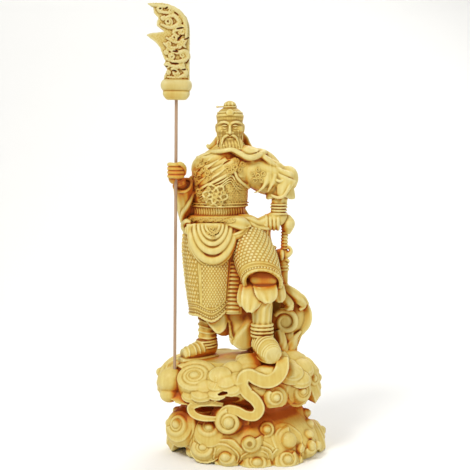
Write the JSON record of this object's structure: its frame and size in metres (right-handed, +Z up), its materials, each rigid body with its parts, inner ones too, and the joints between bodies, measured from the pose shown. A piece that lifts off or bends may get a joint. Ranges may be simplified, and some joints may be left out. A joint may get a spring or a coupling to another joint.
{
  "type": "guan yu statue",
  "caption": "Carved boxwood figure of a bearded general on a two-tier cloud base, one boot raised, a hand on a sheathed sword, the other fist round a tall crescent-bladed polearm.",
  "frame": {"origin": "on the underside of the cloud base, below the hand-set centre line of the carving", "axes": "+Z up to the tip of the blade, -Y the front that the figure faces, +X towards the figure's left hand"},
  "size_m": [0.117, 0.0818, 0.2979],
  "materials": {
    "boxwood": "hand carved, satin",
    "dowel_wood": "plain, matt"
  },
  "bodies": {
    "root": {"figure_on_clouds": "boxwood", "polearm_shaft": "dowel_wood", "polearm_blade": "boxwood"}
  },
  "joints": []
}
